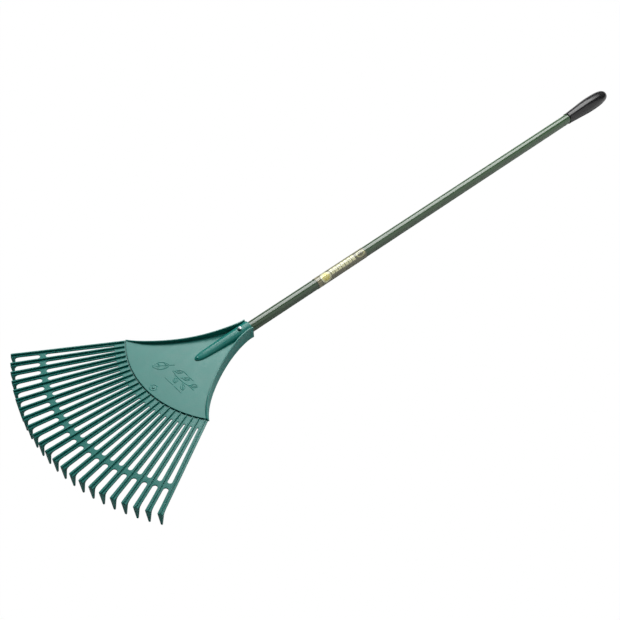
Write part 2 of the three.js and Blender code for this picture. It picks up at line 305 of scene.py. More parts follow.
def inset(loop, distance):
    """A closed outline moved sideways, to the left of its direction, with mitred corners."""
    loop = np.asarray(loop, float)
    along = np.roll(loop, -1, axis=0) - loop
    along /= np.linalg.norm(along, axis=1)[:, None]
    left = np.stack([-along[:, 1], along[:, 0]], axis=1)
    before = np.roll(left, 1, axis=0)
    room = 1 + np.sum(left * before, axis=1)
    return loop + distance * (left + before) / np.maximum(room, 0.3)[:, None]


def fill(outline, start):
    """Triangles across a closed outline of flat points."""
    triangles = tessellate_polygon([[Vector((x, y, 0)) for x, y in outline]])
    return [tuple(start + corner for corner in triangle) for triangle in triangles]


def rounded_sheet(loops, bottom, top, rounding):
    """A flat sheet with rounded edges. The first loop is its outline, and the others are holes."""
    levels = [(rounding * side, top - rounding * down) for side, down in quarter()]
    levels += [(rounding * side, bottom + rounding * down) for side, down in quarter()[::-1]]
    points, faces, caps = [], [], ([], [])
    for index, loop in enumerate(loops):
        inward = 1 if index == 0 else -1
        loop = loop if polygon_area(loop) * inward > 0 else loop[::-1]
        rings = [[(x, y, height) for x, y in inset(loop, distance)] for distance, height in levels]
        start = len(points)
        faces += [tuple(start + corner for corner in face) for face in skin(rings)]
        points += [point for ring in rings for point in ring]
        caps[0].append((rings[0], start))
        caps[1].append((rings[-1], len(points) - len(loop)))
    for cap in caps:
        numbers = [start + corner for ring, start in cap for corner in range(len(ring))]
        flat = [[Vector((x, y, 0)) for x, y, _ in ring] for ring, _ in cap]
        for triangle in tessellate_polygon(flat):
            faces.append(tuple(numbers[corner] for corner in triangle))
    return points, faces


# ------------------------------------------------------------------ layout of the fan

def tine_angle(index):
    """A tine's angle from the handle, with the tines counted from the lowest x."""
    return (index - (TINE_COUNT - 1) / 2) * TINE_PITCH


def arc_radius(arc, angle):
    """How far out an arc across the fan stands, at an angle."""
    return arc[0] - arc[1] * angle ** 2


def fan_point(radius, angle, aside=0.0):
    """A point at a radius on a tine's centre line, or to one side of it."""
    return (
        radius * math.sin(angle) + aside * math.cos(angle),
        -radius * math.cos(angle) + aside * math.sin(angle),
    )


def gap_round(angle, limit, outer):
    """The round end of the gap between two tines. It touches both, and just reaches the limit."""
    half = TINE_PITCH / 2
    edge = STRAP_WIDTH / 2
    sign = 1 if outer else -1
    centre = (limit + sign * edge) / (1 + sign * math.sin(half))
    radius = centre * math.sin(half) - edge
    swing = math.pi / 2 + sign * half
    points = []
    for turn in np.linspace(-swing, swing, 11):
        out = centre + sign * radius * math.cos(turn)
        points.append(fan_point(out, angle, radius * math.sin(turn)))
    return points


def slot(angle):
    """Outline of a slot between two tines, from the web to the cross band."""
    near = gap_round(angle, arc_radius(SLOT_START, angle), outer=False)
    far = gap_round(angle, arc_radius(BAND_INNER, angle), outer=True)
    return near + far[::-1]


def fan_outline():
    """Outline of the slotted sheet, from its edge under the plate to the ends of the tines."""
    last = tine_angle(TINE_COUNT - 1)
    half = STRAP_WIDTH / 2
    side_start = arc_radius(PLATE_EDGE, last) - SIDE_OVERLAP
    outline = []
    for angle in np.linspace(last, -last, 2 * TINE_COUNT - 1):
        outline.append(fan_point(arc_radius(PLATE_EDGE, angle) - WEB_OVERLAP, angle))
    outline.append(fan_point(side_start, -last, -half))
    for index in range(TINE_COUNT):
        angle = tine_angle(index)
        end = arc_radius(TINE_ENDS, angle) - STRAP_SETBACK
        outline += [fan_point(end, angle, -half), fan_point(end, angle, half)]
        if index < TINE_COUNT - 1:
            middle = angle + TINE_PITCH / 2
            outline += gap_round(middle, arc_radius(BAND_OUTER, middle), outer=False)
    outline.append(fan_point(side_start, last, half))
    return outline


def fan_sheet():
    """The web, the straps and the cross band, as one slotted sheet."""
    slots = [slot(tine_angle(index) + TINE_PITCH / 2) for index in range(TINE_COUNT - 1)]
    return rounded_sheet([fan_outline(), *slots], -STRAP_THICKNESS, 0, STRAP_ROUNDING)


# ------------------------------------------------------------------ ribs and teeth

def along_tine(rings, angle):
    """Rings of (out, aside, height) laid along a tine."""
    return [[(*fan_point(out, angle, aside), height) for out, aside, height in ring] for ring in rings]


def rib(angle):
    """A bar along the top of a tine, with a rounded back and a rounded end."""
    start = arc_radius(PLATE_EDGE, angle) - 1
    end = arc_radius(TINE_ENDS, angle) - RIB_SETBACK
    rounding = 0.6
    half = RIB_WIDTH / 2
    section = [(-half, -STRAP_THICKNESS / 2), (half, -STRAP_THICKNESS / 2)]
    section += [(half - rounding * side, RIB_TOP - rounding * down) for side, down in quarter()[::-1]]
    section += [(-half + rounding * side, RIB_TOP - rounding * down) for side, down in quarter()]
    rings = [[(start, aside, height) for aside, height in section]]
    for side, down in quarter()[::-1]:
        ceiling = RIB_TOP - rounding * side
        rings.append([(end - rounding * down, aside, min(height, ceiling)) for aside, height in section])
    return loft(along_tine(rings, angle))


def rounded_rectangle(inner, outer, half, rounding):
    """Sixteen points round a rectangle with rounded corners, as (out, aside)."""
    points = []
    for corner in range(4):
        centre_out = outer - rounding if corner in (0, 1) else inner + rounding
        centre_aside = half - rounding if corner in (0, 3) else rounding - half
        for step in range(4):
            turn = math.pi / 2 * (1 - corner - step / 3)
            out = centre_out + rounding * math.cos(turn)
            points.append((out, centre_aside + rounding * math.sin(turn)))
    return points


def tooth_depths():
    """Depths of the tooth's sections, which are close together at its top, fillet and tip."""
    top = [0.02, 0.12, 0.4, 0.9, 1.6, STRAP_THICKNESS]
    fillet = [STRAP_THICKNESS + TOOTH_FILLET * share for share in (0.03, 0.12, 0.26, 0.44, 0.7, 1)]
    shaft = [16, 22, 28, 33]
    tip = [TOOTH_LENGTH - rest for rest in (2.4, 1, 0.25, 0)]
    return top + fillet + shaft + tip


def tooth(angle):
    """A tapering tooth, bent down from the end of a tine."""
    end = arc_radius(TINE_ENDS, angle)
    back = end - TOOTH_ROOT[1]
    bend_end = STRAP_THICKNESS + TOOTH_FILLET
    top_rounding, tip_rounding = 1.4, 1.1
    rings = []
    for depth in tooth_depths():
        top_round = top_rounding - math.sqrt(top_rounding ** 2 - max(0, top_rounding - depth) ** 2)
        tip = max(0, depth - TOOTH_LENGTH + tip_rounding) / tip_rounding
        tip_round = tip_rounding * (1 - math.sqrt(1 - tip ** 2))
        outer = end - TOOTH_LEAN * depth / TOOTH_LENGTH - top_round - tip_round
        if depth < bend_end:
            rise = max(0, depth - STRAP_THICKNESS) / TOOTH_FILLET
            inner = back - TOOTH_FILLET + TOOTH_FILLET * math.sqrt(1 - (1 - rise) ** 2)
        else:
            down = (depth - bend_end) / (TOOTH_LENGTH - bend_end)
            inner = back + (end - TOOTH_LEAN - TOOTH_TIP[1] - back) * down
        narrowing = max(0, depth - STRAP_THICKNESS) / (TOOTH_LENGTH - STRAP_THICKNESS)
        half = (TOOTH_ROOT[0] + (TOOTH_TIP[0] - TOOTH_ROOT[0]) * narrowing) / 2 - tip_round
        section = rounded_rectangle(inner + tip_round, outer, half, min(0.9, 0.9 * half))
        rings.append([(out, aside, -depth) for out, aside in section])
    return loft(along_tine(rings, angle))


# ------------------------------------------------------------------ plate and walls

def side_curve(share):
    """A point on the plate's side as (aside, reach), and the way inwards from it."""
    stations = np.asarray(SIDE_CURVE, float)
    keep = 1 - share
    place = keep ** 3 * stations[0] + 3 * keep ** 2 * share * stations[1]
    place += 3 * keep * share ** 2 * stations[2] + share ** 3 * stations[3]
    slope = keep ** 2 * (stations[1] - stations[0]) + 2 * keep * share * (stations[2] - stations[1])
    slope += share ** 2 * (stations[3] - stations[2])
    inward = np.array([-slope[1], slope[0]]) / np.linalg.norm(slope)
    # Near the corner, the way inwards swings round to follow the plate's edge.
    edge_way = np.array([-math.cos(CORNER_ANGLE), math.sin(CORNER_ANGLE)])
    swing = share ** 6
    way = inward * (1 - swing) + edge_way * swing
    return place, way / (way @ inward)


def along_wall(values, reach):
    """A smooth curve through values at the wall's stations."""
    return float(np.polyval(np.polyfit(WALL_STATIONS, values, 4), reach))


def edge_reach(aside):
    """Reach of the plate's edge at a distance aside."""
    radius = arc_radius(PLATE_EDGE, math.asin(aside / PLATE_EDGE[0]))
    return math.sqrt(radius ** 2 - aside ** 2)


def row(end, fractions, share):
    """A row of points across the plate: straight at the mouth, bowed like the edge at the web."""
    corner = SIDE_CURVE[3][0]
    bow = share ** 2
    points = []
    for fraction in fractions:
        bulge = edge_reach(corner * fraction) - edge_reach(corner)
        points.append((end[0] * fraction, end[1] + bow * bulge))
    return points


def half_section(share, lowered=0.0):
    """Half of a section through the plate: from its middle above, round the wall, to its middle below."""
    place, way = side_curve(share)
    rim = along_wall(WALL_RIM, place[1]) - lowered
    foot = along_wall(WALL_FOOT, place[1])
    face = PLATE_TOP - lowered
    rise = max(rim - face, 0.2)

    def beside(distance):
        return place + way * distance

    foot_line = WALL_THICKNESS + WALL_DRAFT * rise
    fillet = min(INNER_FILLET, 0.6 * rise)
    rounding = min(RIM_ROUNDING, 0.3 * rise)
    # The last step is a short one, so that the shading stays flat up to the wall.
    fractions = [*np.linspace(0, 0.994, 30), 1]
    points = [(*point, face) for point in row(beside(foot_line + fillet), fractions, share)]
    for side, down in quarter(6)[1:]:
        points.append((*beside(foot_line + fillet * side), face + fillet * down))
    for side, down in quarter()[:0:-1]:
        points.append((*beside(WALL_THICKNESS - rounding * side), rim - rounding * down))
    for side, down in quarter():
        points.append((*beside(rounding * side), rim - rounding * down))
    for level in (0.25, 0.5, 0.75, 0.95):
        points.append((*beside(-WALL_FLARE * level), rim + (foot - rim) * level))
    outer_chamfer, inner_chamfer = FOOT_CHAMFER
    points.append((*beside(outer_chamfer - WALL_FLARE), foot))
    points.append((*beside(WALL_THICKNESS - inner_chamfer - WALL_FLARE), foot))
    inner_foot = foot + inner_chamfer
    ceiling = max(PLATE_BOTTOM, inner_foot + 0.1)
    for level in (0.1, 0.5, 0.9):
        distance = WALL_THICKNESS - WALL_FLARE * (1 - 0.45 * level)
        points.append((*beside(distance), inner_foot + (ceiling - inner_foot) * level))
    start = beside(WALL_THICKNESS + min(3, 0.2 * beside(WALL_THICKNESS)[0]))
    points += [(*point, PLATE_BOTTOM) for point in row(start, np.linspace(1, 0, 16), share)]
    return points


def plate_ring(share, lowered=0.0):
    """A whole section through the plate, as a ring of points on the head."""
    half = half_section(share, lowered)
    ring = [(aside, -reach, height) for aside, reach, height in half]
    return ring + [(-x, y, height) for x, y, height in ring[::-1] if x > 1e-9]


def plate():
    """The plate with its walls, lofted from the mouth to its edge, with both ends rounded."""
    mouth_ring = plate_ring(0)
    outline = [(x, height) for x, _, height in mouth_ring]
    way = 1 if polygon_area(outline) > 0 else -1
    rings = []
    for side, down in quarter():
        shrunk = inset(outline, way * EDGE_ROUNDING * down)
        rings.append([(x, y + EDGE_ROUNDING * (1 - side), height)
                      for (x, height), (_, y, _) in zip(shrunk, mouth_ring)])
    rings.reverse()
    edge_share = EDGE_ROUNDING / (3 * math.dist(SIDE_CURVE[2], SIDE_CURVE[3]))
    rings += [plate_ring(share) for share in np.linspace(0, 1 - edge_share, 72)[1:]]
    rings += [plate_ring(1 - edge_share * side, EDGE_ROUNDING * down) for side, down in quarter()[1:]]
    points = [point for ring in rings for point in ring]
    faces = skin(rings)
    faces += fill([(x, height) for x, _, height in rings[0]], 0)
    faces += fill([(x, height) for x, _, height in rings[-1]], len(points) - len(outline))
    return points, faces


# ------------------------------------------------------------------ boss

def nose(reach, start, end, power):
    """One along the boss, falling to nothing at the end of its nose."""
    return math.sqrt(max(0, 1 - (max(0, reach - start) / (end - start)) ** power))


def boss_axis(reach):
    """Height of the handle's axis over the head's plane."""
    return (AXIS_HEIGHT - PLANE_HEIGHT) / math.cos(HEAD_PITCH) - reach * math.tan(HEAD_PITCH)


def boss_size(reach):
    """Height of the boss's crown over the plate, and half of its width."""
    narrowing = nose(reach, *BOSS_NOSE, 4)
    return [(start - fall * reach) * narrowing for start, fall in (BOSS_CROWN, BOSS_HALF_WIDTH)]


def boss_top(reach, shrunk):
    """Half of the boss above the plate, as (aside, height): a round crown with a fillet at its foot."""
    crown, half_width = [size - shrunk for size in boss_size(reach)]
    if crown < 0.1:
        return [(2 * share, -BOSS_SUNK) for share in np.linspace(0, 1, 18)]
    turn_end = math.atan(half_width / crown * math.tan(BOSS_FLANK))
    turns = np.linspace(0, turn_end, 13)
    points = [(half_width * math.sin(turn), crown * math.cos(turn)) for turn in turns]
    aside, height = points[-1]
    radius = height / (1 - math.cos(BOSS_FLANK))
    for share in (0.75, 0.5, 0.25, 0.05):
        slope = BOSS_FLANK * share
        outwards = radius * (math.sin(BOSS_FLANK) - math.sin(slope))
        points.append((aside + outwards, radius * (1 - math.cos(slope))))
    points.append((points[-1][0] + 0.2, -BOSS_SUNK))
    return points


def boss_ring(reach, shrunk=0.0, forward=0.0):
    """A whole section through the boss, above and below the plate."""
    top = [(aside, PLATE_TOP + height) for aside, height in boss_top(reach, shrunk)]
    radius = BOSS_UNDERSIDE * nose(reach, *UNDERSIDE_NOSE, 2.5) - shrunk
    under = [(radius * math.cos(turn), boss_axis(reach) - radius * math.sin(turn))
             for turn in np.linspace(0, math.pi / 2, 10)]
    half = top + under
    ring = [(aside, forward - reach, height) for aside, height in half]
    return ring + [(-x, y, height) for x, y, height in ring[-2:0:-1]]


def boss():
    """The socket's outside, from the mouth to the end of its nose."""
    start = MOUTH + EDGE_ROUNDING
    rings = []
    for side, down in quarter()[::-1]:
        rings.append(boss_ring(start, EDGE_ROUNDING * down, EDGE_ROUNDING * (1 - side)))
    nose_start, nose_end = BOSS_NOSE
    reaches = list(np.linspace(start, nose_start, 18)[1:])
    for turn in np.linspace(0, 1.55, 18)[1:]:
        reaches.append(nose_start + (nose_end - nose_start) * math.sin(turn))
    reaches += list(np.linspace(nose_end + 0.5, UNDERSIDE_NOSE[1] - 0.1, 5))
    return loft(rings + [boss_ring(reach) for reach in reaches])


def button(radius, base, top, rounding):
    """A round upright pad with a rounded rim, as a shell about the Y axis."""
    rim = [(radius - rounding * side, top - rounding * down) for side, down in quarter()[::-1]]
    return lathe([(radius, base), *rim, (AXIS_GAP, top)], SMALL_SIDES)


def on_plate(reach, aside=0.0):
    """The frame of a shell about the Y axis, stood upright on the plate."""
    return head_frame @ Matrix.Translation((aside, -reach, PLATE_TOP)) @ upright


# ------------------------------------------------------------------ relief on the plate

def stroke(points, looped=False):
    """A raised line with a rounded back, along points of (reach, aside) on the plate's face."""
    path = np.array([(aside, -reach) for reach, aside in points])
    if looped:
        along = np.roll(path, -1, axis=0) - np.roll(path, 1, axis=0)
    else:
        along = np.gradient(path, axis=0)
    along /= np.linalg.norm(along, axis=1)[:, None]
    section = ((-1, -1), (-1, 0.05), (-0.72, 0.6), (-0.3, 1), (0.3, 1), (0.72, 0.6), (1, 0.05), (1, -1))
    rings = []
    for (x, y), (step_x, step_y) in zip(path, along):
        rings.append([(
            x - step_y * across * STROKE_WIDTH / 2,
            y + step_x * across * STROKE_WIDTH / 2,
            PLATE_TOP + up * RELIEF_HEIGHT,
        ) for across, up in section])
    return loft(rings, looped)


def leaf(reach, aside, length, heading, veins):
    """A leaf drawn in raised lines: a pointed outline, a midrib and pairs of veins."""
    width = 0.56 * length
    heading = math.radians(heading)

    def placed(along, across):
        return (
            reach + along * math.cos(heading) - across * math.sin(heading),
            aside + along * math.sin(heading) + across * math.cos(heading),
        )

    def edge(share):
        return width / 2 * math.sin(math.pi * share) ** 0.8

    shares = np.linspace(0.03, 0.97, 13)
    outline = [placed((share - 0.5) * length, edge(share)) for share in shares]
    outline += [placed((share - 0.5) * length, -edge(share)) for share in shares[::-1]]
    strokes = [stroke(outline, looped=True)]
    strokes.append(stroke([placed(share * length, 0) for share in np.linspace(-0.82, 0.3, 5)]))
    for vein in range(veins):
        start = (vein + 0.5) / (veins + 0.6) - 0.5
        room = edge(start + 0.62) - 0.9 * STROKE_WIDTH
        for side in (-1, 1):
            near = placed(start * length, side * 0.7 * STROKE_WIDTH)
            far = placed((start + 0.12) * length, side * room)
            strokes.append(stroke([near, far]))
    return strokes


def relief():
    """A large leaf, a sprig and a few bars, all plain, and the ring of the moulding's gate."""
    strokes = leaf(SPRIG_REACH + 9, -32, 34, -35, 2)
    stem = [(SPRIG_REACH + 2 * math.sin(aside / 12), aside) for aside in np.linspace(-6, 60, 23)]
    strokes.append(stroke(stem))
    for index in range(5):
        side = 1 if index % 2 else -1
        strokes += leaf(SPRIG_REACH + 9.5 * side, 4 + 12 * index, 15, 90 - 38 * side, 0)
    for reach, start, end in BARS:
        strokes.append(stroke([(reach, aside) for aside in np.linspace(start, end, 4)]))
    gate = []
    for turn in np.linspace(0, 2 * math.pi, 24, endpoint=False):
        reach = GATE_PLACE[0] + GATE_RADIUS * math.cos(turn)
        gate.append((reach, GATE_PLACE[1] + GATE_RADIUS * math.sin(turn)))
    return [*strokes, stroke(gate, looped=True)]


# ------------------------------------------------------------------ the pieces

def screw_hole(gap):
    """What a hole for the screw cuts away, from the handle's axis upwards."""
    radius = SCREW_SHANK_RADIUS + gap
    return lathe([(radius, 0), (radius, 2 * SCREW_SEAT)], SMALL_SIDES)


def head():
    """The whole moulding, joined from its features, with the bore and the screw's hole cut out."""
    piece = add_mesh("rake_head", plate(), head_frame)
    angles = [tine_angle(index) for index in range(TINE_COUNT)]
    combine(piece, boss(), head_frame)
    combine(piece, fan_sheet(), head_frame)
    combine(piece, joined([rib(angle) for angle in angles]), head_frame)
    combine(piece, joined([tooth(angle) for angle in angles]), head_frame)
    for line in relief():
        combine(piece, line, head_frame)
    combine(piece, button(3, -1, 1.2, 1.1), on_plate(*GATE_PLACE))
    button_top = boss_size(NOSE_BUTTON)[0] + 0.7
    combine(piece, button(2.3, -1, button_top, 0.9), on_plate(NOSE_BUTTON))
    combine(piece, button(SCREW_PAD_RADIUS, TUBE_RADIUS + 1, SCREW_SEAT, 0.5), screw_frame)
    bore = [(SOCKET_RADIUS, -MOUTH - SOCKET_DEPTH), (SOCKET_RADIUS, MOUTH)]
    combine(piece, lathe(bore, ROUND_SIDES), handle_frame, "DIFFERENCE")
    combine(piece, screw_hole(CLEARANCE), screw_frame, "DIFFERENCE")
    smooth(piece)
    return piece


def ring_profile(inner, outer, start, end, rounding):
    """The section of a hollow cylinder with rounded rims, as (radius, distance)."""
    profile = [(outer - rounding * down, start + rounding * side) for side, down in quarter()]
    profile += [(outer - rounding * down, end - rounding * side) for side, down in quarter()[::-1]]
    return [*profile, (inner, end), (inner, start)]


def tube():
    """A hollow tube with eased rims and a hole for the screw."""
    start = (tube_low.y - fan_centre.y) / MM
    end = (tube_high.y - fan_centre.y) / MM
    profile = ring_profile(TUBE_RADIUS - TUBE_WALL, TUBE_RADIUS, start, end, 0.3)
    piece = add_mesh("painted_tube", lathe(profile, ROUND_SIDES, looped=True), handle_frame)
    combine(piece, screw_hole(SNUG), screw_frame, "DIFFERENCE")
    smooth(piece)
    return piece


def grip():
    """A barrel with a thin lip, a rounded shoulder and a flat end, hollow for the tube."""
    start = (grip_low.y - fan_centre.y) / MM
    bore = TUBE_RADIUS + SNUG
    lip = [(bore, 0), (12.9, 0), (13.25, 0.3), (13.25, 2), (12.95, 2.6)]
    stations = [(13.0, 3), (13.65, 13), (15.4, 40), (17.2, 67), (GRIP_BELLY, 88), (16.6, 112)]
    stations += [(14.2, 128), (11.2, GRIP_END - 2.6 - start)]
    swell = GRIP_RADIUS / GRIP_BELLY
    barrel = [(min(radius, GRIP_BELLY) * swell, distance) for radius, distance in spline(stations, 6)]
    shoulder = [(10.3, GRIP_END - 1.4), (9.1, GRIP_END - 0.4), (8, GRIP_END), (AXIS_GAP, GRIP_END)]
    inside = [(AXIS_GAP, start + GRIP_BORE_DEPTH), (bore, start + GRIP_BORE_DEPTH)]
    profile = [(radius, start + distance) for radius, distance in lip + barrel] + shoulder + inside
    piece = add_mesh("grip", lathe(profile, ROUND_SIDES, looped=True), handle_frame)
    smooth(piece)
    return piece


def screw():
    """A pan head screw with a cross recess."""
    seat = SCREW_SEAT + CLEARANCE
    head_top = seat + SCREW_HEAD_HEIGHT
    tip = seat - SCREW_LENGTH
    rim_height, rounding = 0.3, 0.2
    profile = [(AXIS_GAP, tip), (SCREW_SHANK_RADIUS / 2, tip), (SCREW_SHANK_RADIUS, tip + 2)]
    profile += [(SCREW_SHANK_RADIUS, seat - rounding), (SCREW_SHANK_RADIUS + rounding, seat)]
    profile.append((SCREW_HEAD_RADIUS - rounding, seat))
    for turn in np.linspace(0, math.pi / 2, 9):
        radius = max(AXIS_GAP, SCREW_HEAD_RADIUS * math.cos(turn) ** 0.7)
        height = rim_height + (SCREW_HEAD_HEIGHT - rim_height) * math.sin(turn)
        profile.append((radius, seat + height))
    piece = add_mesh("cross_head_screw", lathe(profile, SCREW_SIDES), screw_frame)
    for length, width in (RECESS, RECESS[::-1]):
        corners = ((-length, -width), (length, -width), (length, width), (-length, width))
        ends = ((head_top - RECESS_DEPTH, 0.6), (head_top + 1, 1))
        arm = [[(x / 2 * taper, height, y / 2 * taper) for x, y in corners] for height, taper in ends]
        combine(piece, loft(arm), screw_frame, "DIFFERENCE")
    smooth(piece)
    return piece


def label():
    """A sleeve of film, close round the tube."""
    start = (label_low.y - fan_centre.y) / MM
    end = (label_high.y - fan_centre.y) / MM
    profile = ring_profile(TUBE_RADIUS + SNUG / 2, LABEL_RADIUS, start, end, 0.08)
    piece = add_mesh("printed_film", lathe(profile, ROUND_SIDES, looped=True), handle_frame)
    smooth(piece)
    return piece


# ------------------------------------------------------------------ materials

class Surface:
    """A procedural material. Its textures are placed by the row frame, in metres."""

    def __init__(self, name, **constants):
        self.material = bpy.data.materials.new(name)
        self.material.use_nodes = True
        self.tree = self.material.node_tree
        self.shader = self.tree.nodes["Principled BSDF"]
        self.place = self.add("TexCoord").outputs["Object"]
        for key, value in constants.items():
            socket = key.replace("_", " ").title().replace("Ior", "IOR")
            self.shader.inputs[socket].default_value = value

    def add(self, kind, inputs=(), **settings):
        """A node, with its settings, and its inputs as (number or name, value or socket) pairs."""
        node = self.tree.nodes.new("ShaderNode" + kind)
        for key, value in settings.items():
            setattr(node, key, value)
        for key, value in inputs:
            self.feed(node.inputs[key], value)
        return node

    def feed(self, socket, value):
        """Links a socket to another, or sets it to a value."""
        if isinstance(value, bpy.types.NodeSocket):
            self.tree.links.new(value, socket)
        else:
            socket.default_value = value

    def calculate(self, operation, *values):
        return self.add("Math", enumerate(values), operation=operation).outputs[0]

    def noise(self, scale, detail=3, stretch=(1, 1, 1)):
        place = self.add("Mapping", [("Vector", self.place), ("Scale", stretch)]).outputs[0]
        inputs = [("Vector", place), ("Scale", scale), ("Detail", detail)]
        return self.add("TexNoise", inputs).outputs["Fac"]

    def spread(self, value, low, high, start=0.3, end=0.7):
        """A value between two limits, eased from low at start to high at end."""
        inputs = [("Value", value), ("From Min", start), ("From Max", end)]
        inputs += [("To Min", low), ("To Max", high)]
        return self.add("MapRange", inputs, interpolation_type="SMOOTHSTEP").outputs["Result"]

    def mix(self, share, first, second):
        inputs = [(0, share), (6, first), (7, second)]
        return self.add("Mix", inputs, data_type="RGBA").outputs[2]

    def bump(self, height, distance, strength=1.0, base=None):
        inputs = [("Height", height), ("Distance", distance), ("Strength", strength)]
        if base:
            inputs.append(("Normal", base))
        return self.add("Bump", inputs).outputs["Normal"]

    def finish(self, **inputs):
        """The finished material, with its textures fed to the shader's inputs."""
        for key, value in inputs.items():
            self.feed(self.shader.inputs[key.replace("_", " ").title()], value)
        return self.material

    def cylinder(self):
        """Millimetres along the handle from the fan's centre, and round the tube from its top."""
        parts = self.add("SeparateXYZ", [(0, self.place)]).outputs
        along = self.calculate("SUBTRACT", parts["Y"], fan_centre.y)
        above = self.calculate("SUBTRACT", parts["Z"], fan_centre.z)
        turn = self.calculate("ARCTAN2", parts["X"], above)
        return self.calculate("DIVIDE", along, MM), self.calculate("MULTIPLY", turn, TUBE_RADIUS)


def head_plastic():
    """Semi-gloss moulded plastic: faint flow marks, a fine grain, and a duller face on the plate."""
    surface = Surface("head_plastic")
    flow = surface.noise(24, 4, (1, 0.45, 1))
    cloud = surface.noise(90, 3)
    grain = surface.noise(1500, 2)
    moved = [("Vector", surface.place), ("Location", -head_frame.translation)]
    centre = surface.add("Mapping", moved).outputs[0]
    reach = surface.add("VectorMath", [(0, centre)], operation="LENGTH").outputs["Value"]
    upwards = head_frame.col[2].xyz.normalized()
    dot = surface.add("VectorMath", [(0, centre), (1, upwards)], operation="DOT_PRODUCT")
    height = dot.outputs["Value"]
    on_web = surface.spread(reach, 1, 0, 0.262, 0.27)
    on_face = surface.spread(height, 1, 0, (PLATE_TOP + 0.1) * MM, (PLATE_TOP + 0.5) * MM)
    matt = surface.calculate("MULTIPLY", on_web, on_face)
    deep = surface.mix(surface.spread(flow, 0, 1), (0.012, 0.255, 0.213, 1), (0.016, 0.28, 0.235, 1))
    tone = surface.mix(surface.spread(cloud, 0, 0.25), deep, (0.022, 0.31, 0.265, 1))
    gloss = surface.calculate("MULTIPLY_ADD", matt, 0.06, surface.spread(cloud, 0.27, 0.33))
    relief_of_flow = surface.bump(flow, 0.0006, 0.25)
    fine = surface.bump(grain, 0.00003, 0.3, relief_of_flow)
    return surface.finish(Base_Color=tone, Roughness=gloss, Normal=fine)


def tube_paint():
    """Glossy green enamel with a slight orange peel."""
    surface = Surface("tube_paint", coat_weight=0.4, coat_roughness=0.1)
    cloud = surface.noise(40, 3)
    peel = surface.noise(420, 2)
    tone = surface.mix(surface.spread(cloud, 0, 1), (0.034, 0.088, 0.032, 1), (0.044, 0.104, 0.042, 1))
    gloss = surface.spread(cloud, 0.18, 0.24)
    return surface.finish(Base_Color=tone, Roughness=gloss, Normal=surface.bump(peel, 0.00003, 0.25))


def grip_plastic():
    """Black moulded plastic with a fine grain."""
    surface = Surface("grip_plastic", specular_ior_level=0.42)
    cloud = surface.noise(60, 3)
    grain = surface.noise(1800, 2)
    tone = surface.mix(surface.spread(cloud, 0, 1), (0.010, 0.010, 0.011, 1), (0.016, 0.016, 0.017, 1))
    gloss = surface.spread(cloud, 0.19, 0.24)
    return surface.finish(Base_Color=tone, Roughness=gloss, Normal=surface.bump(grain, 0.00002, 0.4))


def screw_steel():
    """Bright plated steel with fine turning marks."""
    surface = Surface("screw_steel", metallic=1.0)
    marks = surface.noise(2500, 3, (1, 1, 0.2))
    tone = surface.mix(surface.spread(marks, 0, 1), (0.66, 0.68, 0.7, 1), (0.82, 0.83, 0.84, 1))
    gloss = surface.spread(marks, 0.3, 0.4)
    return surface.finish(Base_Color=tone, Roughness=gloss, Normal=surface.bump(marks, 0.00003, 0.4))


class Print(Surface):
    """A surface printed with marks. Places are millimetres along the handle and round the tube."""

    def __init__(self, name, **constants):
        super().__init__(name, **constants)
        self.along, self.around = self.cylinder()

    def less(self, value, amount):
        return self.calculate("SUBTRACT", value, amount)

    def both(self, first, second):
        return self.calculate("MULTIPLY", first, second)

    def hypotenuse(self, first, second):
        squares = [self.calculate("POWER", side, 2) for side in (first, second)]
        return self.calculate("SQRT", self.calculate("ADD", *squares))

    def distance(self, centre, stretch=1.0):
        """Distance from a centre, stretched round the tube."""
        offset = self.both(self.less(self.around, centre[1]), stretch)
        return self.hypotenuse(self.less(self.along, centre[0]), offset)

    def within(self, value, limit):
        """One below a limit, and nothing above it."""
        return self.spread(value, 1, 0, limit - INK_EDGE, limit + INK_EDGE)

    def between(self, value, low, high):
        """One between two limits, and nothing outside them."""
        above = self.spread(value, 0, 1, low - INK_EDGE, low + INK_EDGE)
        return self.both(above, self.within(value, high))


def label_disc(film, ground):
    """A yellow disc with a pale rim and a pale bar across it."""
    disc = film.distance(DISC_PLACE)
    shown = film.mix(film.within(disc, 13), ground, PALE_INK)
    shown = film.mix(film.within(disc, 9), shown, YELLOW_INK)
    off_centre = film.calculate("ABSOLUTE", film.less(film.around, DISC_PLACE[1]))
    bar = film.both(film.between(off_centre, -1, 0.7), film.within(disc, 7))
    return film.mix(bar, shown, PALE_INK)


def label_blocks(film, ground):
    """A row of pale blocks, each with a dark hole."""
    start, end = BLOCK_ENDS
    share = film.calculate("FRACT", film.calculate("DIVIDE", film.less(film.along, start), BLOCK_PITCH))
    step = film.both(share, BLOCK_PITCH)
    across = film.less(film.around, BLOCK_CENTRE)
    row_of_blocks = film.both(film.between(film.along, start, end), film.between(across, -7, 7))
    block = film.both(row_of_blocks, film.between(step, 0.9, BLOCK_PITCH - 0.9))
    hole = film.hypotenuse(film.less(step, BLOCK_PITCH / 2), across)
    block = film.both(block, film.spread(hole, 0, 1, 1, 1.8))
    return film.mix(block, ground, PALE_INK)


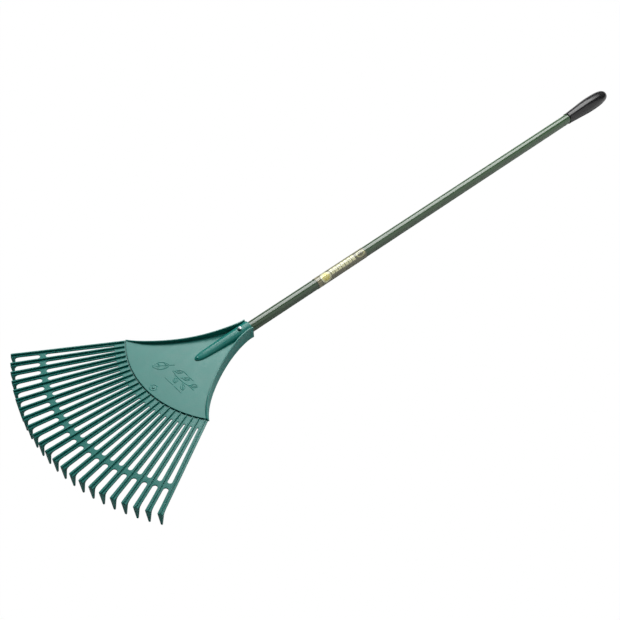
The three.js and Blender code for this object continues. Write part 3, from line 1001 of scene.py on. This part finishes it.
def label_film():
    """Printed film on dark olive: a disc, a row of blocks, a ring and short bars, with no lettering."""
    film = Print("label_film", coat_weight=0.5, coat_roughness=0.06)
    cloud = film.noise(150, 3)
    olive = film.mix(film.spread(cloud, 0, 1), (0.18, 0.18, 0.105, 1), (0.22, 0.22, 0.13, 1))
    shown = label_blocks(film, label_disc(film, olive))
    ring = film.between(film.distance(RING_PLACE, 1.6), 8, 11.5)
    shown = film.mix(ring, shown, (0.6, 0.6, 0.3, 1))
    stripes = film.between(film.calculate("PINGPONG", film.around, 2.2), 0, 0.9)
    bars = film.both(film.between(film.along, 184, 192), stripes)
    shown = film.mix(bars, shown, (0.45, 0.4, 0.2, 1))
    gloss = film.spread(cloud, 0.14, 0.22)
    return film.finish(Base_Color=shown, Roughness=gloss, Normal=film.bump(cloud, 0.00002, 0.3))


# ------------------------------------------------------------------ stage, lights and camera

CAMERA_AIM = Vector((0.0355, -0.1848, 0.00035))
CAMERA_DISTANCE = 2.6162
CAMERA_AZIMUTH = math.radians(48.602)
CAMERA_ELEVATION = math.radians(48.617)
CAMERA_ROLL = math.radians(-0.262)
CAMERA_LENS = 72
FLOOR_SIZE = 40
FLOOR_TONE = 0.8


def add_camera():
    """The photograph's camera, turned a little about its own axis."""
    data = bpy.data.cameras.new("camera")
    data.lens = CAMERA_LENS
    data.sensor_width = 36
    camera = bpy.data.objects.new("camera", data)
    bpy.context.scene.collection.objects.link(camera)
    right = Vector((math.cos(CAMERA_AZIMUTH), math.sin(CAMERA_AZIMUTH), 0))
    level = math.cos(CAMERA_ELEVATION)
    back = Vector((right.y * level, -right.x * level, math.sin(CAMERA_ELEVATION)))
    turn = Matrix((right, back.cross(right), back)).transposed() @ Matrix.Rotation(CAMERA_ROLL, 3, "Z")
    camera.matrix_world = Matrix.Translation(CAMERA_AIM + back * CAMERA_DISTANCE) @ turn.to_4x4()
    bpy.context.scene.camera = camera


def add_plane(name, material):
    """A large square floor plane."""
    far = FLOOR_SIZE / 2
    corners = [(-far, -far, 0), (far, -far, 0), (far, far, 0), (-far, far, 0)]
    data = bpy.data.meshes.new(name)
    data.from_pydata(corners, [], [(0, 1, 2, 3)])
    data.materials.append(material)
    plane = bpy.data.objects.new(name, data)
    bpy.context.scene.collection.objects.link(plane)
    return plane


def add_floor():
    """A white floor for the camera, and a pale one in its place for light and reflections."""
    white = Surface("white_floor", roughness=1, specular_ior_level=0, emission_strength=1)
    glowing = white.finish(Base_Color=(0.02, 0.02, 0.02, 1), Emission_Color=(1, 1, 1, 1))
    seen = add_plane("floor", glowing)
    seen.visible_diffuse = False
    seen.visible_glossy = False
    seen.visible_shadow = False
    pale = Surface("pale_floor", roughness=1, specular_ior_level=0)
    tone = (FLOOR_TONE, FLOOR_TONE, FLOOR_TONE, 1)
    bounce = add_plane("bounce_floor", pale.finish(Base_Color=tone))
    bounce.visible_camera = False


def add_softbox(name, place, size, radiance, turn=0, diffuse=True):
    """A softbox that faces straight down, or is turned about the Y axis by an angle in degrees."""
    data = bpy.data.lights.new(name, "AREA")
    data.shape = "RECTANGLE"
    data.size, data.size_y = size
    data.energy = radiance * math.pi * size[0] * size[1]
    light = bpy.data.objects.new(name, data)
    light.location = place
    light.rotation_euler = (0, math.radians(turn), 0)
    light.visible_diffuse = diffuse
    bpy.context.scene.collection.objects.link(light)


def add_studio():
    """The floor, a large softbox overhead, a card beside it for reflections only, and a dim world."""
    add_floor()
    add_softbox("softbox", (-1.55, 1.9, 2.3), (3.5, 2.6), 6.5)
    add_softbox("side_card", (1.5, 1.5, 1.5), (3.0, 2.2), 1.0, 90, diffuse=False)
    world = bpy.data.worlds.new("studio")
    world.use_nodes = True
    world.node_tree.nodes["Background"].inputs["Color"].default_value = (0.05, 0.05, 0.05, 1)
    bpy.context.scene.world = world
    bpy.context.scene.view_settings.view_transform = "Standard"


# ------------------------------------------------------------------ assembly

def assemble(piece, material, nodes):
    """Gives a piece its material, and has it ride with the rake in place of its CAD nodes."""
    piece.data.materials.clear()
    piece.data.materials.append(material)
    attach(piece, "root")
    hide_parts(*nodes)


add_camera()
add_studio()
assemble(head(), head_plastic(), HEAD_NODES)
assemble(tube(), tube_paint(), ["handle_tube"])
assemble(grip(), grip_plastic(), ["end_grip"])
assemble(screw(), screw_steel(), ["socket_screw"])
assemble(label(), label_film(), ["handle_label"])
